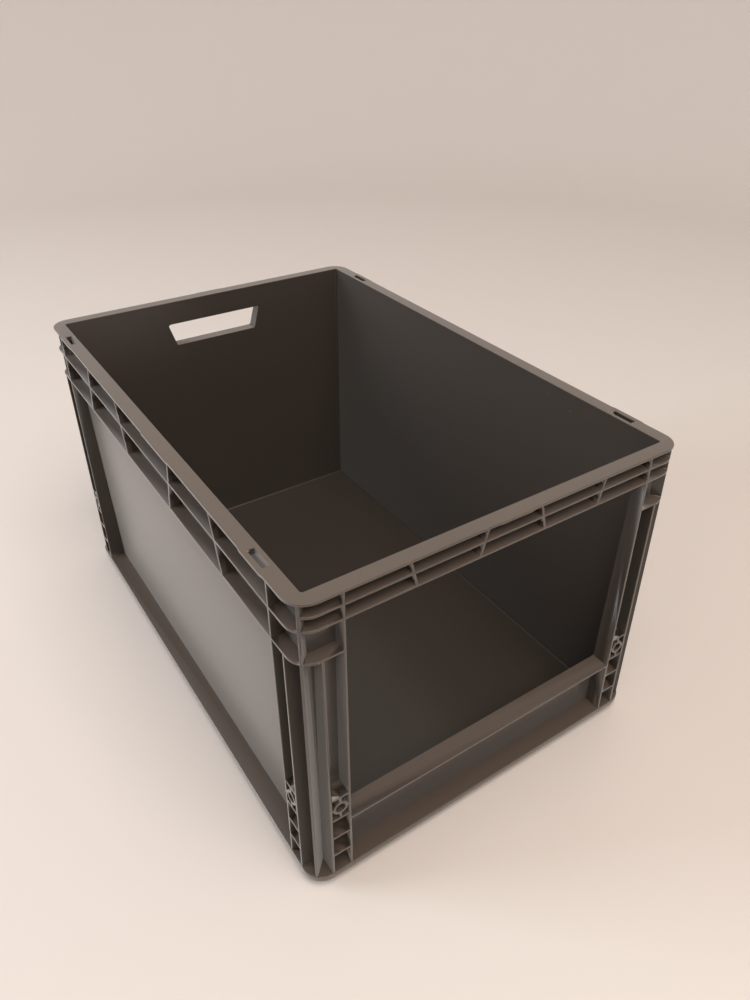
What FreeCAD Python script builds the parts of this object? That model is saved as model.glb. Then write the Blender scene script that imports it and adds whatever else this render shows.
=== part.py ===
"""Open-fronted stacking container, moulded in one piece.

X runs across the container, Y along it with the pick window at -Y, and Z up.
The origin is the centre of the foot's underside. Millimetres throughout.
"""
import FreeCAD, Part
import math
import os

from FreeCAD import Placement, Rotation, Vector

# Overall size
LENGTH = 600.0
WIDTH = 400.0
HEIGHT = 340.0
CORNER_RADIUS = 20.0

# Mouldings
WALL = 2.4
RIB = 2.4
RIM_THICKNESS = 2.6
LIP_PAD_REACH = 0.8
RIB_INSET = 0.8

# Drafted walls, measured on the inner face from the overall size
RIM_WIDTH = 14.7
FLOOR_INSET = 22.3
WALL_CORNER_RADIUS = 2.4

# Rib rings, measured down from the top of the rim to the middle of each rib
HALF_ROW_DROP = 14.0
ROW_DROP = 27.3
BAND_DROP = 58.4

# Slanted ribs of the band: middle positions from the side's centre line
SLANT = math.radians(14.0)
SHORT_OUTER_RIB = 98.3
SHORT_INNER_RIB = 31.0
LONG_OUTER_RIB = 163.5
LONG_INNER_RIB = 63.5

# Corner columns
LADDER_PITCH = 18.8
SHORT_LADDER_INSET = 22.2
LONG_LADDER_INSET = 24.4
RUNG_PITCH = 24.4
RUNG_COUNT = 3
BOSS_CELL = 27.3
BOSS_OUTER_RADIUS = 7.4
BOSS_INNER_RADIUS = 4.9
BOSS_BORE_DEPTH = 11.0

# Base flange, floor and stacking foot. The foot drops inside the rim of a container below
FOOT_DEPTH = 10.0
FLANGE_DEPTH = 6.2
FLOOR_THICKNESS = 2.4
STACKING_CLEARANCE = 1.8
FOOT_CHANNEL = 26.0
LONG_FOOT_WEB_COUNT = 9
SHORT_FOOT_WEB_COUNT = 6

# Pick window
SILL_HEIGHT = 82.0
WINDOW_FILLET = 3.0

# Hand hole in the rear wall
HAND_HOLE_TOP = 126.0
HAND_HOLE_SLOPE = math.radians(16.5)
HAND_HOLE_FILLET = 2.5

# Slots through the long rims
SLOT_LENGTH = 24.5
SLOT_WIDTH = 6.0
SLOT_WALL_GAP = 1.6
SLOT_FROM_END = 66.0

# Pads that bring the rim's outer lip out to the overall size
PAD_TAPER = 4.0
END_PAD_LENGTH = 38.0
SLOT_PAD_LENGTH = 41.0
LEFT_PAD_LENGTH = 67.0
LEFT_PAD_FROM_MIDDLE = 41.5

# How far cutters and hidden ends run past a face
OVERRUN = 1.0

# Heights and planes that follow from the sizes above
FLANGE_BOTTOM = FOOT_DEPTH
FLANGE_TOP = FLANGE_BOTTOM + FLANGE_DEPTH
FLOOR_BOTTOM = FOOT_DEPTH
FLOOR_TOP = FLOOR_BOTTOM + FLOOR_THICKNESS
RIM_BOTTOM = HEIGHT - RIM_THICKNESS
HALF_ROW_Z = HEIGHT - HALF_ROW_DROP
ROW_Z = HEIGHT - ROW_DROP
BAND_Z = HEIGHT - BAND_DROP
LIP_INSET = LIP_PAD_REACH
ENVELOPE_INSET = LIP_PAD_REACH + RIB_INSET
SHORT_COLUMN_RIB = WIDTH / 2 - SHORT_LADDER_INSET
SHORT_WINDOW_RIB = SHORT_COLUMN_RIB - LADDER_PITCH
LONG_COLUMN_RIB = LENGTH / 2 - LONG_LADDER_INSET
LONG_PANEL_RIB = LONG_COLUMN_RIB - LADDER_PITCH
TOP_RUNG_Z = FLANGE_TOP + RUNG_COUNT * RUNG_PITCH
BOSS_TOP_Z = TOP_RUNG_Z + BOSS_CELL


def wall_inset(z):
    """How far the inner wall face stands inside the overall size at height z."""
    fall = (HEIGHT - z) / (HEIGHT - FLOOR_TOP)
    return RIM_WIDTH + (FLOOR_INSET - RIM_WIDTH) * fall


def rounded(block, radius):
    """Block with its four upright edges rounded."""
    tall = block.BoundBox.ZLength / 2
    upright = [edge for edge in block.Edges if edge.BoundBox.ZLength > tall]
    return block.makeFillet(radius, upright)


def plate(inset, radius, low, high):
    """Rounded plate standing inset inside the overall size, between two heights."""
    half_x = WIDTH / 2 - inset
    half_y = LENGTH / 2 - inset
    return rounded(box(-half_x, half_x, -half_y, half_y, low, high), radius)


def ring(inset, radius, width, low, high):
    """Upright closed wall of the given width between two heights."""
    outer = plate(inset, radius, low, high)
    inner = plate(inset + width, radius - width, low - OVERRUN, high + OVERRUN)
    return outer.cut(inner)


def drafted_block(extra, radius, low, high):
    """Block that follows the draft of the walls, grown outward by extra."""
    low_inset = wall_inset(low) - extra
    high_inset = wall_inset(high) - extra
    low_x = WIDTH / 2 - low_inset
    low_y = LENGTH / 2 - low_inset
    high_x = WIDTH / 2 - high_inset
    high_y = LENGTH / 2 - high_inset
    block = Part.makeWedge(-low_x, low, -low_y, -high_y, -high_x, low_x, high, low_y, high_y, high_x)
    block.rotate(Vector(0, 0, 0), Vector(1, 0, 0), 90)
    return rounded(block, radius)


def box(x_low, x_high, y_low, y_high, z_low, z_high):
    """Box between pairs of coordinates."""
    corner = Vector(x_low, y_low, z_low)
    return Part.makeBox(x_high - x_low, y_high - y_low, z_high - z_low, corner)


def rib_at(centre, low_z, high_z, y_low, y_high):
    """Upright rib with its faces square to X."""
    return box(centre - RIB / 2, centre + RIB / 2, y_low, y_high, low_z, high_z)


def slanted_rib(centre, lean, low_z, high_z, y_low, y_high):
    """Rib that leans sideways by the slant angle about its middle height."""
    middle = (low_z + high_z) / 2
    half_width = RIB / 2 / math.cos(SLANT)
    points = []
    for z, side in ((low_z, -1), (low_z, 1), (high_z, 1), (high_z, -1)):
        shift = lean * math.tan(SLANT) * (z - middle)
        points.append(Vector(centre + shift + side * half_width, y_low, z))
    points.append(points[0])
    face = Part.Face(Part.makePolygon(points))
    return face.extrude(Vector(0, y_high - y_low, 0))


def turned(shapes, degrees):
    """Copies of shapes turned about the Z axis."""
    spin = Placement(Vector(0, 0, 0), Rotation(Vector(0, 0, 1), degrees))
    copies = []
    for shape in shapes:
        copy = shape.copy()
        copy.Placement = spin.multiply(copy.Placement)
        copies.append(copy)
    return copies


def side_reach(half_length):
    """Y range from the outer lip to just inside the wall, at the near side."""
    return -half_length, -half_length + FLOOR_INSET


def column(half_length, panel_rib, column_rib):
    """Ladder column at +X on the near side, with its rungs and boss."""
    y_low, y_high = side_reach(half_length)
    pieces = [
        rib_at(panel_rib, FLANGE_TOP - RIB, RIM_BOTTOM, y_low, y_high),
        rib_at(column_rib, FLANGE_TOP - RIB, BAND_Z, y_low, y_high),
    ]
    rungs = [FLANGE_TOP + index * RUNG_PITCH for index in range(1, RUNG_COUNT + 1)]
    rungs.append(BOSS_TOP_Z)
    for z in rungs:
        low = z - RIB / 2
        pieces.append(box(panel_rib, column_rib, y_low, y_high, low, low + RIB))
    pieces += boss(half_length, (panel_rib + column_rib) / 2)
    return pieces


def boss(half_length, centre):
    """Round boss held in its cell by a cross of short webs."""
    y_low, y_high = side_reach(half_length)
    depth = y_high - y_low
    middle_z = (TOP_RUNG_Z + BOSS_TOP_Z) / 2
    start = Vector(centre, y_low, middle_z)
    along = Vector(0, 1, 0)
    barrel = Part.makeCylinder(BOSS_OUTER_RADIUS, depth, start, along)
    bore = Part.makeCylinder(BOSS_INNER_RADIUS, BOSS_BORE_DEPTH, start, along)
    half_x = LADDER_PITCH / 2
    half_z = BOSS_CELL / 2
    level = box(centre - half_x, centre + half_x, y_low, y_high, middle_z - RIB / 2, middle_z + RIB / 2)
    upright = box(centre - RIB / 2, centre + RIB / 2, y_low, y_high, middle_z - half_z, middle_z + half_z)
    return [barrel.fuse([level, upright]).cut(bore)]


def mirrored(shapes):
    """Shapes with their mirror images across the YZ plane."""
    images = [shape.mirror(Vector(0, 0, 0), Vector(1, 0, 0)) for shape in shapes]
    return shapes + images


def short_side():
    """Everything that stands out from the near short wall, before trimming."""
    half_length = LENGTH / 2
    y_low, y_high = side_reach(half_length)
    pieces = column(half_length, SHORT_WINDOW_RIB, SHORT_COLUMN_RIB)
    pieces.append(slanted_rib(SHORT_OUTER_RIB, 1, ROW_Z, RIM_BOTTOM + OVERRUN, y_low, y_high))
    pieces.append(slanted_rib(SHORT_INNER_RIB, -1, ROW_Z, RIM_BOTTOM + OVERRUN, y_low, y_high))
    return mirrored(pieces)


def long_side():
    """Everything that stands out from a long wall, drawn on the near side."""
    half_width = WIDTH / 2
    y_low, y_high = side_reach(half_width)
    pieces = column(half_width, LONG_PANEL_RIB, LONG_COLUMN_RIB)
    pieces.append(slanted_rib(LONG_OUTER_RIB, -1, BAND_Z, RIM_BOTTOM + OVERRUN, y_low, y_high))
    pieces.append(slanted_rib(LONG_INNER_RIB, 1, BAND_Z, RIM_BOTTOM + OVERRUN, y_low, y_high))
    return mirrored(pieces)


def corner_ribs():
    """Ribs on the diagonals, from the wall corners to the rounded outline."""
    reach = FLOOR_INSET * math.sqrt(2)
    ribs = []
    for sx in (-1, 1):
        for sy in (-1, 1):
            height = RIM_BOTTOM - FLANGE_TOP + RIB + OVERRUN
            rib = Part.makeBox(reach, RIB, height, Vector(0, -RIB / 2, FLANGE_TOP - RIB))
            angle = math.degrees(math.atan2(-sy, -sx))
            corner = Vector(sx * WIDTH / 2, sy * LENGTH / 2, 0)
            rib.Placement = Placement(corner, Rotation(Vector(0, 0, 1), angle))
            ribs.append(rib)
    return ribs


def level_ring(z):
    """Rib ring that runs round all four walls and corners."""
    return plate(ENVELOPE_INSET, CORNER_RADIUS - RIB_INSET, z - RIB / 2, z + RIB / 2)


def half_row_ribs():
    """Rib between the rim and the first ring, on the short sides only."""
    whole = level_ring(HALF_ROW_Z)
    depth = 2 * FLOOR_INSET
    parts = []
    for sy in (-1, 1):
        outer = sy * LENGTH / 2
        inner = sy * (LENGTH / 2 - depth)
        points = [
            Vector(-WIDTH / 2, outer, HALF_ROW_Z - RIB),
            Vector(WIDTH / 2, outer, HALF_ROW_Z - RIB),
            Vector(WIDTH / 2 - depth, inner, HALF_ROW_Z - RIB),
            Vector(-WIDTH / 2 + depth, inner, HALF_ROW_Z - RIB),
        ]
        points.append(points[0])
        wedge = Part.Face(Part.makePolygon(points)).extrude(Vector(0, 0, 2 * RIB))
        parts.append(whole.common(wedge))
    return parts


def hand_hole_section(extra):
    """Outline of the hand hole at the rear, grown outward by extra."""
    top = ROW_Z - RIB / 2 + extra
    bottom = BAND_Z + RIB / 2 - extra
    side = extra / math.cos(HAND_HOLE_SLOPE)
    points = []
    for z, side_x in ((bottom, -1), (bottom, 1), (top, 1), (top, -1)):
        depth = ROW_Z - RIB / 2 - z
        half = HAND_HOLE_TOP / 2 - depth * math.tan(HAND_HOLE_SLOPE) + side
        points.append(Vector(side_x * half, 0, z))
    points.append(points[0])
    return Part.Face(Part.makePolygon(points))


def hand_hole(extra, y_low, y_high, fillet):
    """Prism through the rear wall with rounded corners."""
    face = hand_hole_section(extra)
    face.translate(Vector(0, y_low, 0))
    solid = face.extrude(Vector(0, y_high - y_low, 0))
    along = [edge for edge in solid.Edges if abs(edge.tangentAt(0).y) > 0.9]
    return solid.makeFillet(fillet, along)


def hand_hole_collar():
    """Rib that frames the hand hole between the two rings."""
    y_high = LENGTH / 2
    y_low = y_high - FLOOR_INSET
    return hand_hole(RIB, y_low, y_high, HAND_HOLE_FILLET + RIB)


def sill():
    """Ledge under the pick window, flush with the column ribs."""
    y_low, y_high = side_reach(LENGTH / 2)
    return box(-SHORT_WINDOW_RIB, SHORT_WINDOW_RIB, y_low, y_high, SILL_HEIGHT - RIB, SILL_HEIGHT)


def lip_pad(side_length, centre, length):
    """Pad on the near lip, with ends that taper back into it."""
    outer = -side_length / 2
    lip = outer + LIP_PAD_REACH
    inner = lip + RIB
    half = length / 2
    flat = half - PAD_TAPER
    outline = [(-half, inner), (-half, lip), (-flat, outer), (flat, outer), (half, lip), (half, inner)]
    points = [Vector(centre + x, y, RIM_BOTTOM) for x, y in outline]
    points.append(points[0])
    return Part.Face(Part.makePolygon(points)).extrude(Vector(0, 0, RIM_THICKNESS))


def lip_pads():
    """Pads in the middle of the short sides, beside the slots and on the left side."""
    end_pads = [lip_pad(LENGTH, 0, END_PAD_LENGTH)]
    slot_centre = LENGTH / 2 - SLOT_FROM_END
    slot_pads = [lip_pad(WIDTH, centre, SLOT_PAD_LENGTH) for centre in (-slot_centre, slot_centre)]
    left_pads = slot_pads + [lip_pad(WIDTH, LEFT_PAD_FROM_MIDDLE, LEFT_PAD_LENGTH)]
    return end_pads + turned(end_pads, 180) + turned(slot_pads, 90) + turned(left_pads, -90)


def rim_slots():
    """Cutters for the slots through the long rims, just outside the wall."""
    half_width = WIDTH / 2
    inner = half_width - wall_inset(RIM_BOTTOM) + WALL + SLOT_WALL_GAP
    cutters = []
    for sx in (-1, 1):
        x_ends = sorted((sx * inner, sx * (inner + SLOT_WIDTH)))
        for sy in (-1, 1):
            centre = sy * (LENGTH / 2 - SLOT_FROM_END)
            half = SLOT_LENGTH / 2
            y_ends = (centre - half, centre + half)
            cutters.append(box(*x_ends, *y_ends, RIM_BOTTOM - OVERRUN, HEIGHT + OVERRUN))
    return cutters


def window_cutter():
    """Opening between the columns, from the sill to the first ring."""
    y_low, y_high = side_reach(LENGTH / 2)
    half = SHORT_WINDOW_RIB - RIB / 2
    cutter = box(-half, half, y_low - OVERRUN, y_high + WALL, SILL_HEIGHT, ROW_Z - RIB / 2)
    along = [edge for edge in cutter.Edges if abs(edge.tangentAt(0).y) > 0.9]
    return cutter.makeFillet(WINDOW_FILLET, along)


def cavity():
    """Inside of the container, with drafted walls and an eased floor edge."""
    block = drafted_block(0, WALL_CORNER_RADIUS, FLOOR_TOP, HEIGHT + OVERRUN)
    foot_edges = []
    for edge in block.Edges:
        if abs(edge.BoundBox.ZMax - FLOOR_TOP) < 0.01:
            foot_edges.append(edge)
    return block.makeFillet(WALL_CORNER_RADIUS, foot_edges)


def flange():
    """Ledge round the base with a skirt at its outer edge."""
    shelf = plate(LIP_INSET, CORNER_RADIUS, FLANGE_TOP - RIB, FLANGE_TOP)
    skirt = ring(LIP_INSET, CORNER_RADIUS, RIB, FLANGE_BOTTOM, FLANGE_TOP)
    return [shelf, skirt]


def foot():
    """Double wall under the floor that drops inside the rim of a box below."""
    inset = RIM_WIDTH + STACKING_CLEARANCE
    inner_inset = inset + FOOT_CHANNEL
    radius = WALL_CORNER_RADIUS + RIB
    pieces = [
        plate(inset, radius, FLOOR_BOTTOM, FLANGE_TOP - RIB / 2),
        ring(inset, radius, RIB, 0, FLOOR_BOTTOM),
        ring(inner_inset, radius, RIB, 0, FLOOR_BOTTOM),
    ]
    half_x = WIDTH / 2 - inset - RIB / 2
    half_y = LENGTH / 2 - inset - RIB / 2
    inner_x = WIDTH / 2 - inner_inset - RIB / 2
    inner_y = LENGTH / 2 - inner_inset - RIB / 2
    for y in spread(inner_y, LONG_FOOT_WEB_COUNT):
        for sx in (-1, 1):
            x_ends = sorted((sx * half_x, sx * inner_x))
            pieces.append(box(*x_ends, y - RIB / 2, y + RIB / 2, 0, FLOOR_BOTTOM))
    for x in spread(inner_x, SHORT_FOOT_WEB_COUNT):
        for sy in (-1, 1):
            y_ends = sorted((sy * half_y, sy * inner_y))
            pieces.append(box(x - RIB / 2, x + RIB / 2, *y_ends, 0, FLOOR_BOTTOM))
    return pieces


def spread(half, count):
    """Evenly spaced positions from -half to half."""
    return [-half + 2 * half * index / (count - 1) for index in range(count)]


def ribs():
    """All outer ribs, trimmed to the rounded envelope just inside the lip."""
    pieces = short_side() + turned(short_side(), 180)
    pieces += turned(long_side(), 90) + turned(long_side(), -90)
    pieces += corner_ribs() + half_row_ribs()
    pieces += [level_ring(ROW_Z), level_ring(BAND_Z), sill(), hand_hole_collar()]
    envelope = plate(ENVELOPE_INSET, CORNER_RADIUS - RIB_INSET, FLANGE_TOP - RIB, RIM_BOTTOM + OVERRUN)
    return pieces[0].fuse(pieces[1:]).common(envelope)


def container():
    """The whole moulding."""
    body = drafted_block(WALL, WALL_CORNER_RADIUS + WALL, FLOOR_BOTTOM, HEIGHT)
    rim = plate(LIP_INSET, CORNER_RADIUS, RIM_BOTTOM, HEIGHT)
    pieces = [ribs(), rim] + lip_pads() + flange() + foot()
    y_high = LENGTH / 2 + OVERRUN
    y_low = LENGTH / 2 - FLOOR_INSET - WALL
    cutters = [cavity(), window_cutter()] + rim_slots()
    cutters.append(hand_hole(0, y_low, y_high, HAND_HOLE_FILLET))
    solid = body.fuse(pieces).cut(cutters)
    return solid.removeSplitter()


def main():
    """Write the moulding to its own STEP file."""
    os.makedirs("parts", exist_ok=True)
    shape = container()
    shape.exportStep("parts/container.step")


if __name__ == "__main__":
    main()
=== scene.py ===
"""Looks, light and camera for an open-fronted stacking container in dark moulded plastic.

Metres throughout. X runs across the container, Y along it with the pick window at -Y, and Z up from
the foot.
"""

import logging
import math
from dataclasses import dataclass
from enum import Enum

import bmesh
import bpy
import numpy as np
from mathutils import Matrix, Vector


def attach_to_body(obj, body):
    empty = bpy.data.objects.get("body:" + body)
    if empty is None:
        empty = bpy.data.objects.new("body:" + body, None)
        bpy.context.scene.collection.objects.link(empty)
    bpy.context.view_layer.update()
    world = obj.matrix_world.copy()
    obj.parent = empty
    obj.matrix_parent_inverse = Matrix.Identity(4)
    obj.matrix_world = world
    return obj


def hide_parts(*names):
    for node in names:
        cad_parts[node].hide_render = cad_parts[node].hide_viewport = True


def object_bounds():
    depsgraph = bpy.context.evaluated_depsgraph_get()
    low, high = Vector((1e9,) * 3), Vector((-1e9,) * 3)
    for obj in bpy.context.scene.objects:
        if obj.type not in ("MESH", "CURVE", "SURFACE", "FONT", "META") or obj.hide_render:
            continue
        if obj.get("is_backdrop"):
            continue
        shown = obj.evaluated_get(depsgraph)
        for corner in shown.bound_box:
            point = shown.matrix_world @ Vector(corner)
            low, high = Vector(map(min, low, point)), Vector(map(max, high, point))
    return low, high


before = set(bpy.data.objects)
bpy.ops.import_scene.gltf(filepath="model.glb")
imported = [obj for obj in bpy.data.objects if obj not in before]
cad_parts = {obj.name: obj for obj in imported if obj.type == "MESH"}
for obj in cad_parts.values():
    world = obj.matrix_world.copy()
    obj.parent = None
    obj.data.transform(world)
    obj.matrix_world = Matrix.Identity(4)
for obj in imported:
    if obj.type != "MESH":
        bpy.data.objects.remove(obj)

log = logging.getLogger("container")

MM = 0.001
CAD_LOW, CAD_HIGH = (tuple(corner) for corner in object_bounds())

Triple = tuple[float, float, float]
Socket = bpy.types.NodeSocket
Value = Socket | float


class Glow(Enum):
    """Linear colours of the studio's lights."""

    WARM = (1.0, 0.92, 0.84)
    CREAM = (1.0, 0.95, 0.89)
    DAYLIGHT = (0.80, 0.90, 1.0)


@dataclass(frozen=True)
class Plastic:
    """Finish of the moulded plastic.

    Args:
        base: colour of clean satin plastic, linear.
        painted_top_light: colour painted on level faces to stand for light falling on them from above,
            linear.
        scuffed: colour where the surface is rubbed matt, linear.
        gloss: roughness of clean walls.
        matt: roughness of rubbed surfaces.
        haze: how strongly fine dust brightens surfaces seen at a slant.
        haze_spread: roughness of that brightening.
        refraction: refractive index of the plastic.
        grain: strength of the moulded grain.
        grain_depth: depth of the moulded grain.
    """

    base: Triple = (0.040, 0.031, 0.025)
    painted_top_light: Triple = (0.090, 0.068, 0.055)
    scuffed: Triple = (0.105, 0.080, 0.062)
    gloss: float = 0.27
    matt: float = 0.50
    haze: float = 0.45
    haze_spread: float = 0.4
    refraction: float = 1.5
    grain: float = 0.08
    grain_depth: float = 0.15 * MM


@dataclass(frozen=True)
class Paint:
    """Plain finish of the floor and of the wall that it bends up into.

    Args:
        floor: linear colour of the level part.
        wall: linear colour of the upright part.
        roughness: roughness of both.
    """

    floor: Triple = (0.72, 0.655, 0.615)
    wall: Triple = (0.67, 0.61, 0.57)
    roughness: float = 0.30


@dataclass(frozen=True)
class Lamp:
    """One square soft light.

    Args:
        name: the light's name.
        place: where it hangs.
        size: side of the square.
        watts: its power.
        glow: its colour.
    """

    name: str
    place: Triple
    size: float
    watts: float
    glow: Glow


class NodeTree:
    """Short helpers that add nodes to one node tree and wire them up."""

    def __init__(self, tree: bpy.types.NodeTree) -> None:
        """Keeps the tree that the nodes go in."""
        self.tree = tree

    def add(self, kind: str, **settings: object) -> bpy.types.Node:
        """Adds one node.

        Args:
            kind: the node's type name.
            settings: properties to set on it.

        Returns:
            The new node.
        """
        node = self.tree.nodes.new(kind)
        for name, value in settings.items():
            setattr(node, name, value)
        return node

    def wire(self, start: Socket, end: Socket) -> None:
        """Joins an output socket to an input socket."""
        self.tree.links.new(start, end)

    def feed(self, node: bpy.types.Node, name: str | int, value: Value) -> None:
        """Sets an input, or wires it where the value is a socket.

        Args:
            node: the node whose input is fed.
            name: the input's name or place.
            value: a socket or a number.
        """
        socket = node.inputs[name]
        if isinstance(value, Socket):
            self.wire(value, socket)
        else:
            socket.default_value = value

    def maths(self, operation: str, first: Value, second: Value = 0.0, clamp: bool = False) -> Socket:
        """Adds a Math node.

        Args:
            operation: the node's operation.
            first: first input.
            second: second input.
            clamp: whether the result is held between 0 and 1.

        Returns:
            The result socket.
        """
        node = self.add("ShaderNodeMath", operation=operation, use_clamp=clamp)
        self.feed(node, 0, first)
        self.feed(node, 1, second)
        return node.outputs[0]

    def ramp(self, value: Socket, low: float, high: float) -> Socket:
        """Adds a smooth step from 0 at low to 1 at high.

        Args:
            value: the input socket.
            low: where the result is 0.
            high: where the result is 1.

        Returns:
            The result socket.
        """
        node = self.add("ShaderNodeMapRange", interpolation_type="SMOOTHSTEP")
        self.feed(node, "Value", value)
        self.feed(node, "From Min", low)
        self.feed(node, "From Max", high)
        return node.outputs["Result"]

    def noise(self, vector: Socket, scale: Value, detail: float) -> Socket:
        """Adds a noise texture.

        Args:
            vector: where the noise is read.
            scale: cycles per metre.
            detail: octaves.

        Returns:
            The noise value socket.
        """
        node = self.add("ShaderNodeTexNoise")
        self.feed(node, "Vector", vector)
        self.feed(node, "Scale", scale)
        self.feed(node, "Detail", detail)
        return node.outputs["Fac"]

    def blend(self, factor: Socket, first: Socket | Triple, second: Socket | Triple) -> Socket:
        """Mixes two colours.

        Args:
            factor: share of the second colour.
            first: a socket or a linear colour.
            second: a socket or a linear colour.

        Returns:
            The mixed colour.
        """
        mix = self.add("ShaderNodeMix", data_type="RGBA")
        self.wire(factor, mix.inputs["Factor"])
        for name, colour in (("A", first), ("B", second)):
            if isinstance(colour, Socket):
                self.wire(colour, mix.inputs[name])
            else:
                mix.inputs[name].default_value = (*colour, 1.0)
        return mix.outputs["Result"]

    def stretched(self, vector: Socket, scale: Triple) -> Socket:
        """Adds a Mapping node that scales a vector along each axis.

        Args:
            vector: the vector to scale.
            scale: factor along each axis.

        Returns:
            The scaled vector socket.
        """
        node = self.add("ShaderNodeMapping")
        self.feed(node, "Vector", vector)
        node.inputs["Scale"].default_value = scale
        return node.outputs["Vector"]

    def part_of(self, vector: Socket, axis: str) -> Socket:
        """Picks one coordinate of a vector.

        Args:
            vector: the vector.
            axis: X, Y or Z.

        Returns:
            The coordinate.
        """
        split = self.add("ShaderNodeSeparateXYZ")
        self.wire(vector, split.inputs[0])
        return split.outputs[axis]


def surface(name: str, grid: np.ndarray, closed: bool = False) -> bpy.types.Object:
    """Makes a smooth mesh from a grid of points.

    Args:
        name: the piece's name.
        grid: points with shape (rows, columns, 3).
        closed: whether the last row joins the first.

    Returns:
        The new object.
    """
    rows, columns = grid.shape[:2]
    index = np.arange(rows * columns).reshape(rows, columns)
    following = np.roll(index, -1, axis=0)
    if not closed:
        index, following = index[:-1], following[:-1]
    faces = np.stack([index[:, :-1], following[:, :-1], following[:, 1:], index[:, 1:]], axis=-1)
    mesh = bpy.data.meshes.new(name)
    mesh.from_pydata(grid.reshape(-1, 3), [], faces.reshape(-1, 4))
    mesh.polygons.foreach_set("use_smooth", np.ones(len(mesh.polygons), dtype=bool))
    piece = bpy.data.objects.new(name, mesh)
    bpy.context.scene.collection.objects.link(piece)
    return piece


def attach(piece: bpy.types.Object, plastic: bpy.types.Material) -> None:
    """Gives a piece the container's plastic and joins it to the container.

    Args:
        piece: the piece.
        plastic: the container's material.
    """
    piece.data.materials.clear()
    piece.data.materials.append(plastic)
    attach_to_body(piece, "root")


def group_with(name: str, inputs: dict[str, float], outputs: list[str]) -> NodeTree:
    """Starts a shader node group with float sockets and a vector input.

    Args:
        name: the group's name.
        inputs: float inputs with their defaults.
        outputs: names of float outputs.

    Returns:
        Helpers that hold the group as their tree.
    """
    tree = bpy.data.node_groups.new(name, "ShaderNodeTree")
    tree.interface.new_socket("Position", in_out="INPUT", socket_type="NodeSocketVector")
    for label, value in inputs.items():
        socket = tree.interface.new_socket(label, in_out="INPUT", socket_type="NodeSocketFloat")
        socket.default_value = value
    for label in outputs:
        tree.interface.new_socket(label, in_out="OUTPUT", socket_type="NodeSocketFloat")
    return NodeTree(tree)


def moulded_grain() -> bpy.types.NodeTree:
    """Builds the fine texture of moulded plastic.

    Returns:
        A group that gives a height and a slow mottle, both about 0 to 1.
    """
    scales = {"Grain Scale": 900.0, "Mottle Scale": 9.0}
    nodes = group_with("moulded grain", scales, ["Height", "Mottle"])
    entry = nodes.add("NodeGroupInput")
    leave = nodes.add("NodeGroupOutput")
    position = entry.outputs["Position"]
    fine = nodes.noise(position, entry.outputs["Grain Scale"], detail=3.0)
    slow = nodes.noise(position, entry.outputs["Mottle Scale"], detail=0.0)
    nodes.wire(fine, leave.inputs["Height"])
    nodes.wire(slow, leave.inputs["Mottle"])
    return nodes.tree


def rubbed_lines() -> bpy.types.NodeTree:
    """Builds faint scratches that run along and across the rim.

    Returns:
        A group that gives a mask of thin lines.
    """
    nodes = group_with("rubbed lines", {"Amount": 0.5}, ["Mask"])
    entry = nodes.add("NodeGroupInput")
    leave = nodes.add("NodeGroupOutput")
    fine, long, tall = 900.0, 14.0, 60.0
    faint, clear = 0.60, 0.74
    masks = []
    for scale in ((fine, long, tall), (long, fine, tall)):
        pattern = nodes.noise(nodes.stretched(entry.outputs["Position"], scale), 1.0, detail=3.0)
        masks.append(nodes.ramp(pattern, faint, clear))
    lines = nodes.maths("MAXIMUM", masks[0], masks[1])
    mask = nodes.maths("MULTIPLY", lines, entry.outputs["Amount"], clamp=True)
    nodes.wire(mask, leave.inputs["Mask"])
    return nodes.tree


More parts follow.
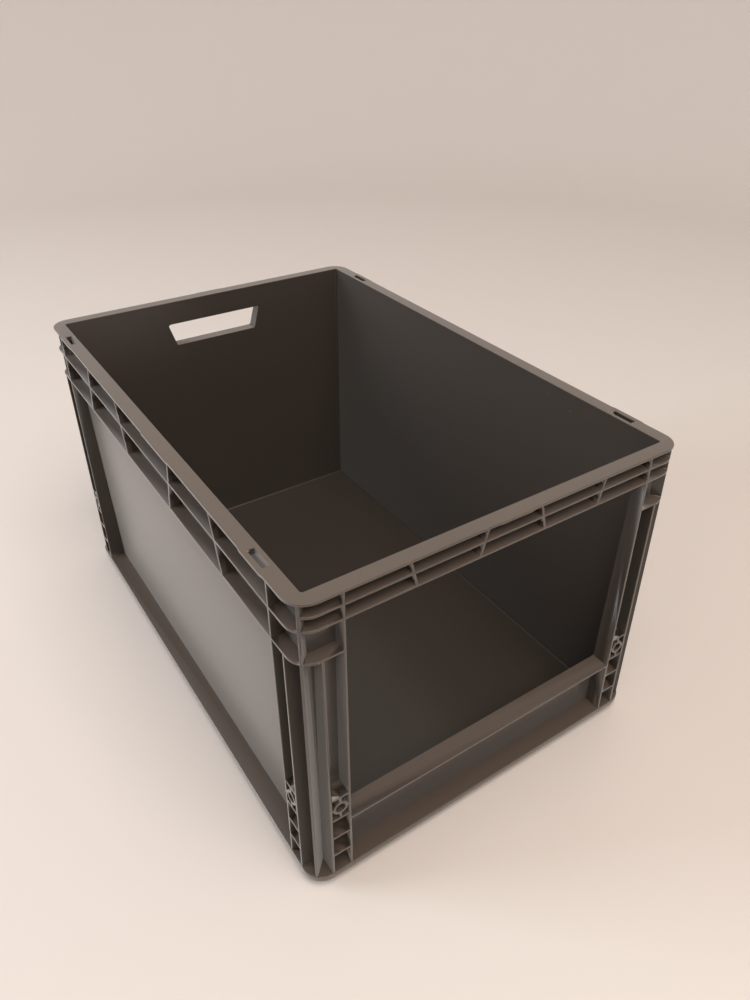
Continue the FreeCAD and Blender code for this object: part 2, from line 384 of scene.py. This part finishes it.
@dataclass
class PlasticSurface:
    """Material of the moulding and of its small added pieces.

    Args:
        finish: the plastic's finish.
        rim_band: depth of the rubbed zone under the rim's top.
        rim_full: depth under the rim's top where it is most rubbed.
        outer_band: depth from the overall outline of the faces that rub against shelves.
        outer_full: depth from the overall outline where they are most rubbed.
        outer_share: how far they are rubbed there.
        corner: radius of the outline's corners.
        top_light_from: height over which level faces get the painted light from above.
        top_light_fade: height in which that painted light starts.
        top_light_slant: upward part of the normal where the painted light starts.
        top_light_level: upward part of the normal where it is full.
        even: mottle values between which the rubbing grows.
    """

    finish: Plastic = Plastic()
    rim_band: float = 0.8 * MM
    rim_full: float = 0.2 * MM
    outer_band: float = 2.4 * MM
    outer_full: float = 1.7 * MM
    outer_share: float = 0.5
    corner: float = 20.0 * MM
    top_light_from: float = 13.5 * MM
    top_light_fade: float = 0.5 * MM
    top_light_slant: float = 0.7
    top_light_level: float = 0.95
    even: tuple[float, float] = (-0.4, 0.6)

    def material(self) -> bpy.types.Material:
        """Satin plastic, rubbed matt on the rim, with level faces above the foot painted lighter as
        light from above.

        Returns:
            The material.
        """
        material = bpy.data.materials.new("moulded plastic")
        material.use_nodes = True
        nodes = NodeTree(material.node_tree)
        shader = material.node_tree.nodes["Principled BSDF"]
        place = nodes.add("ShaderNodeTexCoord")
        position, facing = place.outputs["Object"], place.outputs["Normal"]
        grain = nodes.add("ShaderNodeGroup", node_tree=moulded_grain())
        nodes.feed(grain, "Position", position)
        lines = nodes.add("ShaderNodeGroup", node_tree=rubbed_lines())
        nodes.feed(lines, "Position", position)

        height = nodes.part_of(position, "Z")
        rim = nodes.ramp(height, CAD_HIGH[2] - self.rim_band, CAD_HIGH[2] - self.rim_full)
        outline = nodes.ramp(self.outline_depth(nodes, position), -self.outer_band, -self.outer_full)
        outer = nodes.maths("MULTIPLY", outline, self.outer_share)
        patches = nodes.ramp(grain.outputs["Mottle"], *self.even)
        rubbed = nodes.maths("MULTIPLY", nodes.maths("MAXIMUM", rim, outer), patches)
        scratched = nodes.maths("MULTIPLY", lines.outputs["Mask"], rim)
        worn = nodes.maths("ADD", rubbed, scratched, clamp=True)
        # Painted light: level faces above the foot are painted lighter, standing for light that falls
        # on them from above.
        level = nodes.ramp(nodes.part_of(facing, "Z"), self.top_light_slant, self.top_light_level)
        raised = nodes.ramp(height, self.top_light_from, self.top_light_from + self.top_light_fade)
        top_light_mask = nodes.maths("MULTIPLY", level, raised)
        tone = nodes.blend(top_light_mask, self.finish.base, self.finish.painted_top_light)
        nodes.wire(nodes.blend(worn, tone, self.finish.scuffed), shader.inputs["Base Color"])
        rough = nodes.add("ShaderNodeMapRange")
        nodes.feed(rough, "Value", rim)
        nodes.feed(rough, "To Min", self.finish.gloss)
        nodes.feed(rough, "To Max", self.finish.matt)
        nodes.wire(rough.outputs["Result"], shader.inputs["Roughness"])
        bump = nodes.add("ShaderNodeBump")
        nodes.feed(bump, "Strength", self.finish.grain)
        nodes.feed(bump, "Distance", self.finish.grain_depth)
        nodes.wire(grain.outputs["Height"], bump.inputs["Height"])
        nodes.wire(bump.outputs["Normal"], shader.inputs["Normal"])
        shader.inputs["IOR"].default_value = self.finish.refraction
        shader.inputs["Sheen Weight"].default_value = self.finish.haze
        shader.inputs["Sheen Roughness"].default_value = self.finish.haze_spread
        return material

    def outline_depth(self, nodes: NodeTree, position: Socket) -> Socket:
        """Measures how far a point lies from the overall rounded outline, seen from above.

        Args:
            nodes: the tree that the nodes go in.
            position: the point.

        Returns:
            The distance in metres, below zero inside the outline.
        """
        past = []
        for axis, half in (("X", CAD_HIGH[0]), ("Y", CAD_HIGH[1])):
            reach = nodes.maths("ABSOLUTE", nodes.part_of(position, axis))
            past.append(nodes.maths("SUBTRACT", reach, half - self.corner))
        clear = [nodes.maths("MAXIMUM", value, 0.0) for value in past]
        squares = [nodes.maths("MULTIPLY", value, value) for value in clear]
        round_part = nodes.maths("SQRT", nodes.maths("ADD", squares[0], squares[1]))
        flat_part = nodes.maths("MINIMUM", nodes.maths("MAXIMUM", past[0], past[1]), 0.0)
        return nodes.maths("SUBTRACT", nodes.maths("ADD", round_part, flat_part), self.corner)


@dataclass
class Moulding:
    """The one-piece container, with eased edges over the solid's form.

    Args:
        node: the solid that it stands for.
        edge_radius: how far each outer edge is eased.
        edge_steps: faces across each eased edge.
        sharp: angle past which an edge counts as sharp.
        crowded: length under which a neighbouring edge leaves no room to ease.
        flat: angle under which two faces count as one.
        joined: distance under which two points count as one.
        flat_weight: how strongly large faces keep their own normals.
    """

    node: str = "container"
    edge_radius: float = 0.55 * MM
    edge_steps: int = 2
    sharp: float = math.radians(32.0)
    crowded: float = 0.9 * MM
    flat: float = math.radians(0.3)
    joined: float = 0.001 * MM
    flat_weight: int = 90

    def build(self, plastic: bpy.types.Material) -> None:
        """Makes the eased moulding and dresses it.

        Args:
            plastic: the moulding's material.
        """
        piece = self.merged_copy()
        self.ease_edges(piece)
        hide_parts(self.node)
        attach(piece, plastic)
        log.info("moulding: %d faces before its edges are eased", len(piece.data.polygons))

    def merged_copy(self) -> bpy.types.Object:
        """Copies the solid's mesh, joins its loose triangles and drops the lines inside flat faces.

        Returns:
            The new object.
        """
        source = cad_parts[self.node].data
        points = np.empty(len(source.vertices) * 3)
        source.vertices.foreach_get("co", points)
        corners = np.empty(len(source.loops), dtype=int)
        source.loops.foreach_get("vertex_index", corners)
        mesh = bpy.data.meshes.new("moulding")
        mesh.from_pydata(points.reshape(-1, 3), [], corners.reshape(-1, 3))
        work = bmesh.new()
        work.from_mesh(mesh)
        bmesh.ops.remove_doubles(work, verts=work.verts, dist=self.joined)
        bmesh.ops.dissolve_limit(
            work,
            angle_limit=self.flat,
            use_dissolve_boundaries=False,
            verts=work.verts,
            edges=work.edges,
        )
        self.mark_edges(work)
        bmesh.ops.triangulate(work, faces=work.faces, ngon_method="BEAUTY")
        work.to_mesh(mesh)
        work.free()
        piece = bpy.data.objects.new("moulding", mesh)
        bpy.context.scene.collection.objects.link(piece)
        return piece

    def mark_edges(self, work: bmesh.types.BMesh) -> None:
        """Marks the outer edges that have room to be eased, and keeps the other sharp edges crisp.

        Args:
            work: the merged mesh, before its faces are cut into triangles.
        """
        layer = work.edges.layers.float.new("bevel_weight_edge")
        for edge in work.edges:
            near = (link.calc_length() for point in edge.verts for link in point.link_edges)
            if edge.is_manifold and edge.calc_face_angle() > self.sharp:
                eased = edge.is_convex and min(near) > self.crowded
                edge[layer] = float(eased)
                edge.smooth = eased

    def ease_edges(self, piece: bpy.types.Object) -> None:
        """Rounds the marked edges a little and keeps the flat faces flat.

        Args:
            piece: the merged copy.
        """
        bevel = piece.modifiers.new("eased edges", "BEVEL")
        bevel.width = self.edge_radius
        bevel.segments = self.edge_steps
        bevel.limit_method = "WEIGHT"
        bevel.use_clamp_overlap = False
        bevel.miter_outer = "MITER_SHARP"
        weighted = piece.modifiers.new("flat faces", "WEIGHTED_NORMAL")
        weighted.keep_sharp = True
        weighted.weight = self.flat_weight
        for polygon in piece.data.polygons:
            polygon.use_smooth = True


@dataclass
class SlotCollars:
    """Short walls under the rim round each of the four slots.

    Args:
        middle_x: distance of the slots from the container's middle, across.
        middle_y: distance of the slots from the container's middle, along.
        width: width of a slot.
        length: length of a slot.
        wall: thickness of the walls.
        top: height at which they meet the rim's plate.
        bottom: height of their lower edge.
        sharp: angle past which an edge is crisp.
    """

    middle_x: float = 192.24 * MM
    middle_y: float = 234.0 * MM
    width: float = 6.0 * MM
    length: float = 24.5 * MM
    wall: float = 1.4 * MM
    top: float = 338.2 * MM
    bottom: float = 334.2 * MM
    sharp: float = math.radians(30.0)

    def build(self, plastic: bpy.types.Material) -> None:
        """Makes the four collars.

        Args:
            plastic: the container's material.
        """
        for side_x, across in ((-1, "left"), (1, "right")):
            for side_y, along in ((-1, "front"), (1, "rear")):
                grid = self.ring() + np.array([side_x * self.middle_x, side_y * self.middle_y, 0.0])
                collar = surface(f"slot_collar_{along}_{across}", grid, closed=True)
                collar.data.set_sharp_from_angle(angle=self.sharp)
                attach(collar, plastic)
                log.info("slot collar: %s %s", along, across)

    def ring(self) -> np.ndarray:
        """Computes one collar about its own middle.

        Each row is a corner of the slot. Its columns go round the wall's cross-section: down the
        inside, out, up the outside and back.

        Returns:
            Points with shape (4, 5, 3).
        """
        corners = np.array([(-1, -1), (1, -1), (1, 1), (-1, 1)])
        half = np.array([self.width / 2, self.length / 2])
        outward = np.array([0.0, 0.0, self.wall, self.wall, 0.0])
        height = np.array([self.top, self.bottom, self.bottom, self.top, self.top])
        plan = corners[:, None, :] * (half + outward[:, None])
        rise = np.broadcast_to(height[:, None], (len(corners), len(height), 1))
        return np.concatenate([plan, rise], axis=-1)


@dataclass
class MouldMarks:
    """Small round marks that the moulding tool leaves on the inner faces.

    Args:
        radius: radius of a mark.
        rise: height of a mark over its face.
        rim_inset: distance of the inner wall from the overall size at the rim.
        floor_inset: the same distance at the floor.
        floor_top: height of the floor.
        around: points round a mark.
        steps: points from its edge to its top.
    """

    radius: float = 1.1 * MM
    rise: float = 0.35 * MM
    rim_inset: float = 14.7 * MM
    floor_inset: float = 22.3 * MM
    floor_top: float = 12.4 * MM
    around: int = 24
    steps: int = 6

    def build(self, plastic: bpy.types.Material) -> None:
        """Makes the marks on the rear wall, the right wall and the floor.

        Args:
            plastic: the container's material.
        """
        forward, left, up = Vector((0, -1, 0)), Vector((-1, 0, 0)), Vector((0, 0, 1))
        rear_z, high_z, low_z = 290.0 * MM, 326.0 * MM, 321.0 * MM
        rear = self.wall_face(CAD_HIGH[1], rear_z)
        right_high = self.wall_face(CAD_HIGH[0], high_z)
        right_low = self.wall_face(CAD_HIGH[0], low_z)
        marks = {
            "mark_rear": (Vector((83.0 * MM, rear, rear_z)), forward),
            "mark_right_high": (Vector((right_high, -140.0 * MM, high_z)), left),
            "mark_right_low": (Vector((right_low, -174.0 * MM, low_z)), left),
            "mark_floor": (Vector((172.0 * MM, -123.0 * MM, self.floor_top)), up),
        }
        for name, (place, normal) in marks.items():
            attach(surface(name, self.dome(place, normal), closed=True), plastic)
            log.info("mould mark: %s", name)

    def wall_face(self, overall: float, height: float) -> float:
        """Finds where the leaning inner wall face stands.

        Args:
            overall: half the overall size across that wall.
            height: height of the point.

        Returns:
            The face's distance from the container's middle.
        """
        fall = (CAD_HIGH[2] - height) / (CAD_HIGH[2] - self.floor_top)
        return overall - self.rim_inset - (self.floor_inset - self.rim_inset) * fall

    def dome(self, place: Vector, normal: Vector) -> np.ndarray:
        """Computes one shallow dome on a face.

        Args:
            place: middle of the mark on the face.
            normal: direction in which the face looks.

        Returns:
            Points with shape (around, from rim to top, 3).
        """
        around = np.linspace(0.0, 2 * math.pi, self.around, endpoint=False)[:, None]
        slope = np.linspace(0.0, math.pi / 2, self.steps)[None, :]
        flat_x = self.radius * np.cos(slope) * np.cos(around)
        flat_y = self.radius * np.cos(slope) * np.sin(around)
        rise = np.broadcast_to(self.rise * np.sin(slope), flat_x.shape)
        turn = np.array(normal.to_track_quat("Z", "Y").to_matrix())
        return np.stack([flat_x, flat_y, rise], axis=-1) @ turn.T + np.array(place)


@dataclass
class Studio:
    """Floor, lights, world and camera.

    Args:
        paint: finish of the floor and its wall.
        hub: radius of the small opening in the floor's middle, under the object.
        floor_reach: radius of the level part.
        bend: radius of the bend between floor and wall.
        wall_top: height of the wall.
        around: points round the floor.
        bend_steps: points along the bend.
        room: brightness of the light from all round.
        aim: the point that the lights face.
        lamps: the soft lights.
    """

    paint: Paint = Paint()
    hub: float = 0.02
    floor_reach: float = 2.2
    bend: float = 1.2
    wall_top: float = 2.6
    around: int = 96
    bend_steps: int = 25
    room: float = 0.50
    aim: Triple = (0.0, 0.0, 0.1)
    lamps: tuple[Lamp, ...] = (
        Lamp("key", (-0.2, -1.5, 2.8), 2.0, 68.0, Glow.WARM),
        Lamp("window", (-2.5, 1.4, 1.15), 1.2, 62.0, Glow.DAYLIGHT),
    )

    def build(self) -> None:
        """Makes the stage, the lights and the camera."""
        self.lay_floor()
        self.light_world()
        for lamp in self.lamps:
            self.hang(lamp)
        self.place_camera()

    def lay_floor(self) -> None:
        """Lays the plain floor, which bends up into a round wall.

        The profile is a radius and a height for each step: straight out, a quarter circle, then
        straight up. Each profile point is carried round the centre, so radius times cosine and sine
        give X and Y.
        """
        turn = np.linspace(0.0, math.pi / 2, self.bend_steps)
        bend_radius = self.floor_reach + self.bend * np.sin(turn)
        radius = np.concatenate([[self.hub], bend_radius, [self.floor_reach + self.bend]])
        height = np.concatenate([[0.0], self.bend * (1 - np.cos(turn)), [self.wall_top]])
        around = np.linspace(0.0, 2 * math.pi, self.around, endpoint=False)
        x = np.outer(np.cos(around), radius)
        y = np.outer(np.sin(around), radius)
        z = np.broadcast_to(height, x.shape)
        floor = surface("floor", np.stack([x, y, z], axis=-1), closed=True)
        floor.data.materials.append(self.floor_material())
        floor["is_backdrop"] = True

    def floor_material(self) -> bpy.types.Material:
        """Pale satin finish that changes slowly from the floor's colour to the wall's.

        Returns:
            The material.
        """
        material = bpy.data.materials.new("floor")
        material.use_nodes = True
        nodes = NodeTree(material.node_tree)
        shader = material.node_tree.nodes["Principled BSDF"]
        position = nodes.add("ShaderNodeTexCoord").outputs["Object"]
        upward = nodes.ramp(nodes.part_of(position, "Z"), 0.0, self.bend)
        nodes.wire(nodes.blend(upward, self.paint.floor, self.paint.wall), shader.inputs["Base Color"])
        shader.inputs["Roughness"].default_value = self.paint.roughness
        return material

    def light_world(self) -> None:
        """Fills the room with soft warm light from all round."""
        world = bpy.data.worlds.new("room")
        bpy.context.scene.world = world
        world.use_nodes = True
        sky = world.node_tree.nodes["Background"]
        sky.inputs["Color"].default_value = (*Glow.CREAM.value, 1.0)
        sky.inputs["Strength"].default_value = self.room

    def hang(self, lamp: Lamp) -> None:
        """Hangs one light, turned towards the object.

        Args:
            lamp: the light.
        """
        light = bpy.data.lights.new(lamp.name, "AREA")
        light.size = lamp.size
        light.energy = lamp.watts
        light.color = lamp.glow.value
        holder = bpy.data.objects.new(lamp.name, light)
        holder.location = lamp.place
        sight = Vector(self.aim) - Vector(lamp.place)
        holder.rotation_euler = sight.to_track_quat("-Z", "Y").to_euler()
        bpy.context.scene.collection.objects.link(holder)

    def place_camera(self) -> None:
        """Puts the camera where the photograph was taken from.

        The focal length and the optical centre are in pixels of the photograph's frame.
        """
        eye = Vector((-370.896, -661.953, 704.748)) * MM
        right = Vector((0.824697, -0.565485, 0.010063))
        down = Vector((-0.301125, -0.454080, -0.838531))
        ahead = Vector((0.478746, 0.688504, -0.544761))
        frame_width, frame_height = 750.0, 1000.0
        focal, centre_x, centre_y = 800.475, 393.735, 477.675
        camera = bpy.data.cameras.new("camera")
        camera.sensor_width = 36.0
        camera.lens = focal / frame_height * camera.sensor_width
        camera.shift_x = (frame_width / 2 - centre_x) / frame_height
        camera.shift_y = (centre_y - frame_height / 2) / frame_height
        holder = bpy.data.objects.new("camera", camera)
        turn = Matrix((right, -down, -ahead)).transposed()
        holder.matrix_world = Matrix.Translation(eye) @ turn.to_4x4()
        bpy.context.scene.collection.objects.link(holder)
        bpy.context.scene.camera = holder


def main() -> None:
    """Builds the container's looks and the studio."""
    logging.basicConfig(level=logging.INFO, format="%(message)s")
    bpy.context.scene.view_settings.view_transform = "Standard"
    plastic = PlasticSurface().material()
    Moulding().build(plastic)
    SlotCollars().build(plastic)
    MouldMarks().build(plastic)
    Studio().build()
    log.info("studio ready")


if __name__ == "__main__":
    main()
